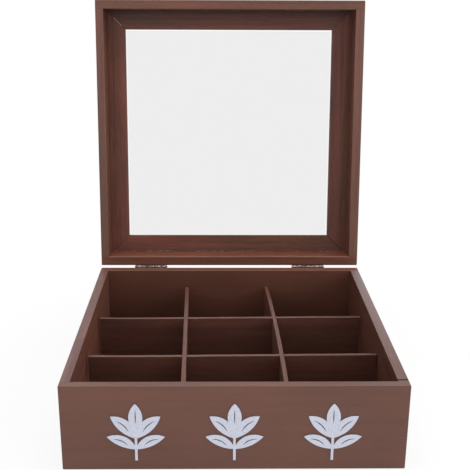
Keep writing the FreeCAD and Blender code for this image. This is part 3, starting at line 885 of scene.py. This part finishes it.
class Finish:
    """A node tree whose nodes are added and wired in one call each."""

    def __init__(self, tree):
        self.tree = tree
        tree.nodes.clear()

    def node(self, kind, settings=None, sockets=None, out=0):
        made = self.tree.nodes.new(kind)
        for name, value in (settings or {}).items():
            if name == "stops":
                set_stops(made.color_ramp, value)
            else:
                setattr(made, name, value)
        inputs = [socket for socket in made.inputs if socket.enabled]
        for key, value in (sockets or {}).items():
            if isinstance(key, int):
                socket = inputs[key]
            else:
                socket = next(one for one in inputs if one.name == key)
            if isinstance(value, Signal):
                self.tree.links.new(value.socket, socket)
            else:
                socket.default_value = value
        outputs = [socket for socket in made.outputs if socket.enabled]
        if outputs:
            return Signal(self, outputs[out] if isinstance(out, int) else made.outputs[out])

    def maths(self, operation, first, second, clamp=False):
        return self.node("ShaderNodeMath", {"operation": operation, "use_clamp": clamp},
                         {0: first, 1: second})

    def limit(self, value):
        """The value, kept from 0 to 1."""
        return self.maths("ADD", value, 0.0, clamp=True)

    def mix(self, amount, first, second):
        return self.node("ShaderNodeMix", {"data_type": "RGBA"},
                         {"Factor": amount, "A": first, "B": second})

    def stored(self, name, out="Fac"):
        """What is stored on the piece's points under a name."""
        return self.node("ShaderNodeAttribute", {"attribute_name": name}, out=out)

    def stretch(self, place, scale):
        """A pattern's place, scaled: a large number makes the pattern fine in that direction."""
        return self.node("ShaderNodeMapping", None, {"Vector": place, "Scale": scale})

    def grain(self, place, scale, detail=3, roughness=0.55):
        """Noise from 0 to 1, with its own fineness in each direction, in features per metre."""
        return self.node("ShaderNodeTexNoise", None, {
            "Vector": self.stretch(place, scale),
            "Scale": 1.0, "Detail": detail, "Roughness": roughness})

    def ramp(self, value, *stops):
        return self.node("ShaderNodeValToRGB", {"stops": stops}, {"Fac": value})

    def bump(self, height, strength, distance):
        return self.node("ShaderNodeBump", None,
                         {"Height": height, "Strength": strength, "Distance": distance})

    def show(self, surface):
        """Send a surface to the material's output."""
        self.node("ShaderNodeOutputMaterial", None, {"Surface": surface})


def set_stops(ramp, stops):
    """Give a ramp its stops, each a position and a grey."""
    while len(ramp.elements) > 1:
        ramp.elements.remove(ramp.elements[-1])
    for index, (position, grey) in enumerate(stops):
        element = ramp.elements[0] if index == 0 else ramp.elements.new(position)
        element.position = position
        element.color = (grey, grey, grey, 1)


def new_finish(name):
    material = bpy.data.materials.new(name)
    material.use_nodes = True
    return material, Finish(material.node_tree)


def coat(material, *pieces):
    """Put one material on all the slots of some pieces."""
    for piece in pieces:
        if not piece.material_slots:
            piece.data.materials.append(material)
        for slot in piece.material_slots:
            slot.material = material


# %% [markdown]
# ## The brown paint
#
# The paint is a satin brown, thin enough for the wood to show through it as long faint lines. A
# single brown would look like plastic. Its hue drifts between a redder and a more olive brown in
# bands along the grain. Its strength drifts in finer streaks, and is also scaled by
# what was stored on each board, which holds painted shade and painted light. Fine fibres and a
# dust of the spray are mostly a bump. Over that lie the grey haze, which is a painted reflection
# on the rims and pale specks on the glue bead, the pale inner arrises, rubbed and with a painted
# highlight, and a thin line of painted shade on the outer arrises.
#
# The front and rear boards were sanded smooth, and the others show more wood, so the recipe takes
# the strength of the grain. It also takes a tint, a factor for red, green and blue. The tints shift
# the hue a little between groups of pieces, and also paint light and shade: the outer boards, the
# lid's walls and its rails get paler copies of the paint, the slats inside a darker one. The bare
# thread of glue is the same recipe with a tint that is many times paler.
#
# The brown itself is deep and red. Most of the grey of the paint on the open faces is not in the
# colour: it is the white room, mirrored faintly in the satin. Inside the box there is no white to
# mirror, and the same paint is redder and darker there. On the rims, though, some of that grey is
# mixed into the colour as the haze, a painted reflection.

# %% Painted wood
RED_BROWN = (0.133, 0.040, 0.029)
OLIVE_BROWN = (0.114, 0.048, 0.027)
# Pale brown on the inner arrises: rubbed wear and a painted highlight.
RUBBED_AND_HIGHLIGHT_BROWN = (0.24, 0.13, 0.10, 1)
# Grey haze: a painted reflection of the white room on the rims, and pale specks on the glue.
GREY_HAZE_AND_SHEEN = (0.21, 0.18, 0.20, 1)
# How far the outer arrises are darkened: a thin line of painted shade.
ARRIS_PAINTED_SHADE = 0.28
PAINT_BUMP = 0.08 * MM


def painted_wood(name, grain, tint=(1, 1, 1), shine=0.5, stored_place=True):
    """The box's paint. grain is how strongly the wood shows through, from 0 to 1."""
    material, finish = new_finish(name)
    red, olive = ((*(part * share for part, share in zip(brown, tint)), 1)
                  for brown in (RED_BROWN, OLIVE_BROWN))
    if stored_place:
        place, depth = finish.stored("board_place", out="Vector"), finish.stored("paint_depth_and_shade")
    else:
        place, depth = finish.node("ShaderNodeTexCoord", out="Object"), 1.0
    arris, haze = finish.stored("arris"), finish.stored("pale_haze_and_sheen")

    mottle = finish.grain(place, (14, 30, 30), detail=2)
    bands = finish.grain(place, (5, 85, 85), detail=2)
    streaks = finish.grain(place, (9, 260, 260), detail=3)
    fibres = finish.grain(place, (90, 1500, 1500), detail=3)
    dust = finish.grain(place, (1100, 1100, 1100), detail=2)

    hue = finish.limit(0.5 + (bands - 0.5) * (2.8 * grain))
    strength = 1 + (mottle - 0.5) * 0.4 + (streaks - 0.5) * (1.5 * grain)
    strength = strength + (fibres - 0.5) * (1.2 * grain)
    # Painted shade: a thin dark line on the outer arrises.
    strength = strength * depth * (1 - finish.limit(0 - arris) * ARRIS_PAINTED_SHADE)
    brown = finish.node("ShaderNodeVectorMath", {"operation": "SCALE"}, {
        "Vector": finish.mix(hue, red, olive), "Scale": strength}, out="Vector")
    # The grey haze: a painted reflection on the rims, pale specks on the glue bead.
    brown = finish.mix(finish.limit(haze * (0.35 + streaks * 0.5 + dust * 0.8)), brown, GREY_HAZE_AND_SHEEN)
    # Pale inner arrises: rubbed wear and a painted highlight.
    brown = finish.mix(finish.limit(arris * (dust * 1.4 - 0.25)), brown, RUBBED_AND_HIGHLIGHT_BROWN)

    roughness = 0.36 + fibres * 0.10 + dust * 0.08
    height = fibres * (0.6 * grain) + streaks * (0.5 * grain) + dust * 0.30
    surface = finish.node("ShaderNodeBsdfPrincipled", None, {
        "Base Color": brown, "Roughness": roughness, "IOR": 1.5, "Specular IOR Level": shine,
        "Normal": finish.bump(height, 0.5, PAINT_BUMP)})
    finish.show(surface)
    return material


# Painted light and shade: the tints below make paler copies of the paint for the outer boards and the
# lid, and a darker one for the slats inside.
coat(painted_wood("smooth_paint", grain=0.18, tint=(1.2, 1.24, 1.2)), front_board, rear_board)
coat(painted_wood("grained_paint", grain=1.0), left_board, right_board)
coat(painted_wood("lid_wall_paint", grain=0.8, tint=(1.18, 1.15, 1.1)), lid_front, lid_left, lid_right)
coat(painted_wood("lid_rear_paint", grain=0.8, tint=(1.35, 1.15, 0.95), shine=0.4), lid_rear, bead)
coat(painted_wood("bare_glue", grain=0.3, tint=(4, 9, 11)), thread)
coat(painted_wood("rail_paint", grain=1.0, tint=(1.15, 1.05, 0.95), shine=0.42), *rails.values())
coat(painted_wood("slat_paint", grain=0.6, tint=(0.78, 0.84, 0.9)), *slats.values())

# %% [markdown]
# ## The bottom panel
#
# The bottom is a flat thin panel that is already right in the frame, so it keeps its own mesh and
# only takes the paint. It has no stored grain place, so the same recipe reads its object
# coordinates instead. Its object sits at the origin, so those are its true place.

# %% The bottom's paint
coat(painted_wood("bottom_paint", grain=0.5, stored_place=False), frame["nodes"]["bottom_panel"])

# %% [markdown]
# ## The small metal parts
#
# The hinges are thin plated steel. Their barrels, leaves and slotted screws are right in the frame,
# so they keep their meshes. Near the pin the steel is painted dark in patches a millimetre or two
# wide, which end where the leaves begin: painted shade and painted dark reflections of the gap
# between lid and base. Fine scratches run along the barrels. The hidden brads get a paler steel.

# %% Plated steel
KNUCKLE_REACH = 2.4 * MM
SCRATCH_BUMP = 0.03 * MM


def plated_steel(name, dark, pale):
    """Nickel-plated steel, darkened in patches near the hinge line as painted shade."""
    material, finish = new_finish(name)
    place = finish.node("ShaderNodeTexCoord", out="Object")
    # Painted shade and painted dark reflections: near the pin the steel is darkened in patches, where
    # the hinge sits in the gap between lid and base.
    shade_patches = finish.ramp(finish.grain(place, (420, 900, 900), detail=2), (0.46, 0.0), (0.62, 1.0))
    from_pin = finish.node("ShaderNodeVectorMath", {"operation": "DISTANCE"}, {
        0: finish.stretch(place, (0, 1, 1)), 1: (0, HINGE_AXIS.y, HINGE_AXIS.z)}, out="Value")
    on_knuckle = finish.limit((KNUCKLE_REACH - from_pin) * (1 / MM))
    scratches = finish.grain(place, (400, 5200, 5200), detail=2)
    unshaded = 1 - (1 - shade_patches) * on_knuckle
    metal = finish.mix(unshaded * (0.6 + scratches * 0.4), (*dark, 1), (*pale, 1))
    surface = finish.node("ShaderNodeBsdfPrincipled", None, {
        "Base Color": metal, "Metallic": 1.0, "Roughness": 0.24 + unshaded * 0.20,
        "Normal": finish.bump(scratches, 0.35, SCRATCH_BUMP)})
    finish.show(surface)
    return material


hinge_steel = plated_steel("hinge_steel", (0.035, 0.026, 0.022), (0.42, 0.38, 0.34))
nail_steel = plated_steel("nail_steel", (0.30, 0.29, 0.28), (0.60, 0.58, 0.56))
for name, node in frame["nodes"].items():
    if name.startswith("hinge_"):
        coat(hinge_steel, node)
    elif name.endswith("_brads"):
        coat(nail_steel, node)

# %% [markdown]
# ## The silver sprigs
#
# Three leafy sprigs of thin glitter foil are stuck to the front. The foil is a pale silver with a
# touch of lilac, pressed with fine flakes that each tip the light their own way. Voronoi cells a
# quarter of a millimetre wide are the flakes: each cell's own random number shifts the silver,
# and as a height it tilts the surface a little.

# %% Glitter foil
FOIL_BUMP = 0.05 * MM

foil, finish = new_finish("glitter_foil")
place = finish.node("ShaderNodeTexCoord", out="Object")
flakes = finish.node("ShaderNodeTexVoronoi", {"feature": "F1"}, {
    "Vector": finish.stretch(place, (1, 0.2, 1)), "Scale": 4200.0}, out="Color")
flake = finish.node("ShaderNodeSeparateColor", None, {"Color": flakes})
silver = finish.mix(flake, (0.46, 0.48, 0.58, 1), (0.74, 0.76, 0.86, 1))
surface = finish.node("ShaderNodeBsdfPrincipled", None, {
    "Base Color": silver, "Metallic": 1.0, "Roughness": 0.30 + flake * 0.15,
    "Normal": finish.bump(flake, 0.4, FOIL_BUMP)})
finish.show(surface)
coat(foil, *(frame["nodes"]["ornament_" + side] for side in ("left", "centre", "right")))

# %% [markdown]
# ## The pane
#
# The pane is thin glass with a faint grey. About a millimetre short of the rails the grey stops, and
# a brighter line runs round the window: a painted highlight along its edge. The grey is the base
# colour of a fully transmitting surface. Where the grey ends is worked out from the place on the
# pane, measured from its middle along the two directions of the open lid.

# %% Window glass
# The pane's grey stops short of the rails, leaving a paler line round the window: a painted highlight
# along its edge.
PANE_GREY, CLEAR = (0.845, 0.845, 0.845, 1), (0.97, 0.965, 0.96, 1)
HIGHLIGHT_MARGIN = 1.2 * MM

up_the_lid = Matrix.Rotation(-OPEN_ANGLE, 3, "X") @ Vector((0, -1, 0))
pane = frame["nodes"]["window_pane"]
pane_middle = sum((vertex.co for vertex in pane.data.vertices), Vector()) / len(pane.data.vertices)
window_middle_x = (window["left"] + window["right"]) / 2
grey_half_x = (window["right"] - window["left"]) / 2 - HIGHLIGHT_MARGIN
grey_half_up = (window["rear"] - window["front"]) / 2 - HIGHLIGHT_MARGIN

glass, finish = new_finish("window_glass")
place = finish.node("ShaderNodeTexCoord", out="Object")
from_middle = finish.node("ShaderNodeVectorMath", {"operation": "SUBTRACT"}, {
    0: place, 1: (window_middle_x, pane_middle.y, pane_middle.z)}, out="Vector")
across = finish.node("ShaderNodeSeparateXYZ", None, {"Vector": from_middle}, out="X")
upwards = finish.node("ShaderNodeVectorMath", {"operation": "DOT_PRODUCT"}, {
    0: from_middle, 1: up_the_lid}, out="Value")


def within(distance, half):
    """1 where a distance lies within the grey part's half size."""
    size = finish.node("ShaderNodeMath", {"operation": "ABSOLUTE"}, {0: distance})
    return finish.maths("LESS_THAN", size, half)


# Painted highlight: the clearer colour in a thin margin along the window's edge.
grey_inside = within(across, grey_half_x) * within(upwards, grey_half_up)
surface = finish.node("ShaderNodeBsdfPrincipled", None, {
    "Base Color": finish.mix(grey_inside, CLEAR, PANE_GREY),
    "Transmission Weight": 1.0, "Roughness": 0.0, "IOR": 1.46})
finish.show(surface)
coat(glass, pane)

# %% [markdown]
# ## The stage
#
# The box stands on a plain pale floor in a white room. The room has two jobs that must not be mixed
# up. To the camera, and in mirrors and glass, it is pure white. As a light it is weaker, so
# that the brown renders about as it is written. Light Path tells the two kinds of ray apart.
#
# The floor does the same, but near the box only in part: the camera sees mostly white there and a
# little of the real shaded floor, which keeps the box's soft shadow. Further out it fades to plain
# white, so that no horizon shows.

# %% White room
ROOM_LIGHT = 0.50

world = bpy.data.worlds.new("white_room")
bpy.context.scene.world = world
world.use_nodes = True
room = Finish(world.node_tree)


def seen(finish):
    """1 for rays that look at the background, straight or in a mirror or glass, and 0 for light."""
    straight, mirrored, through = (
        finish.node("ShaderNodeLightPath", out=name)
        for name in ("Is Camera Ray", "Is Glossy Ray", "Is Transmission Ray"))
    return finish.maths("MAXIMUM", finish.maths("MAXIMUM", straight, mirrored), through)


def world_shade(finish, strength):
    return finish.node("ShaderNodeBackground", None, {"Color": (1, 1, 1, 1), "Strength": strength})


shade = room.node("ShaderNodeMixShader", None, {
    0: seen(room), 1: world_shade(room, ROOM_LIGHT), 2: world_shade(room, 1.0)})
room.node("ShaderNodeOutputWorld", None, {"Surface": shade})

# %% Floor
WHITE_NEAR, WHITE_FAR = 0.86, 1.0
FADE_FROM, FADE_TO = 0.16, 0.32
FLOOR_SIZE, FLOOR_DROP = 6, 0.1 * MM

bpy.ops.object.select_all(action="DESELECT")
bpy.ops.mesh.primitive_plane_add(size=FLOOR_SIZE, location=(0, 0, -FLOOR_DROP))
floor = bpy.context.object
floor.name = floor.data.name = "floor"
bpy.ops.object.transform_apply(location=True, rotation=True, scale=True)
floor_finish, finish = new_finish("floor_finish")
place = finish.node("ShaderNodeTexCoord", out="Object")
speck = finish.grain(place, (60, 60, 60), detail=2)
pale = finish.mix(speck, (0.80, 0.80, 0.80, 1), (0.84, 0.84, 0.84, 1))
matt = finish.node("ShaderNodeBsdfDiffuse", None, {"Color": pale})
white = finish.node("ShaderNodeEmission", None, {"Color": (1, 1, 1, 1), "Strength": 1.0})
distance = finish.node("ShaderNodeVectorMath", {"operation": "LENGTH"}, {"Vector": place}, out="Value")
whiteness = finish.node("ShaderNodeMapRange", {"interpolation_type": "SMOOTHSTEP"}, {
    "Value": distance, "From Min": FADE_FROM, "From Max": FADE_TO,
    "To Min": WHITE_NEAR, "To Max": WHITE_FAR})
shade = finish.node("ShaderNodeMixShader", None, {0: seen(finish) * whiteness, 1: matt, 2: white})
finish.show(shade)
coat(floor_finish, floor)

# %% [markdown]
# ## Light
#
# The white room gives the even part of the light. The broadest lamp hangs overhead, and one stands
# high on the right, so the right wall of the tray shades its own inner face. Two weak ones, in front
# on either side, fill the front boards. All are large for their distance, so no shadow has an edge.

# %% Four soft lamps
LAMPS_FACE = Vector((0, 0, 0.1))


def soft_lamp(name, place, size, watts):
    """A square lamp that faces the box."""
    data = bpy.data.lights.new(name, "AREA")
    data.shape, data.size, data.energy = "SQUARE", size, watts
    lamp = bpy.data.objects.new(name, data)
    bpy.context.scene.collection.objects.link(lamp)
    away = (Vector(place) - LAMPS_FACE).to_track_quat("Z", "Y")
    lamp.matrix_world = Matrix.Translation(place) @ away.to_matrix().to_4x4()


soft_lamp("overhead_lamp", (0, 0.1, 2.0), size=1.5, watts=27)
soft_lamp("right_lamp", (1.8, -0.2, 1.0), size=1.2, watts=16)
soft_lamp("front_left_lamp", (-1.2, -1.6, 0.8), size=1.0, watts=2)
soft_lamp("front_right_lamp", (1.2, -1.6, 0.8), size=1.0, watts=2)

# %% The picture
bpy.context.scene.view_settings.view_transform = "Standard"
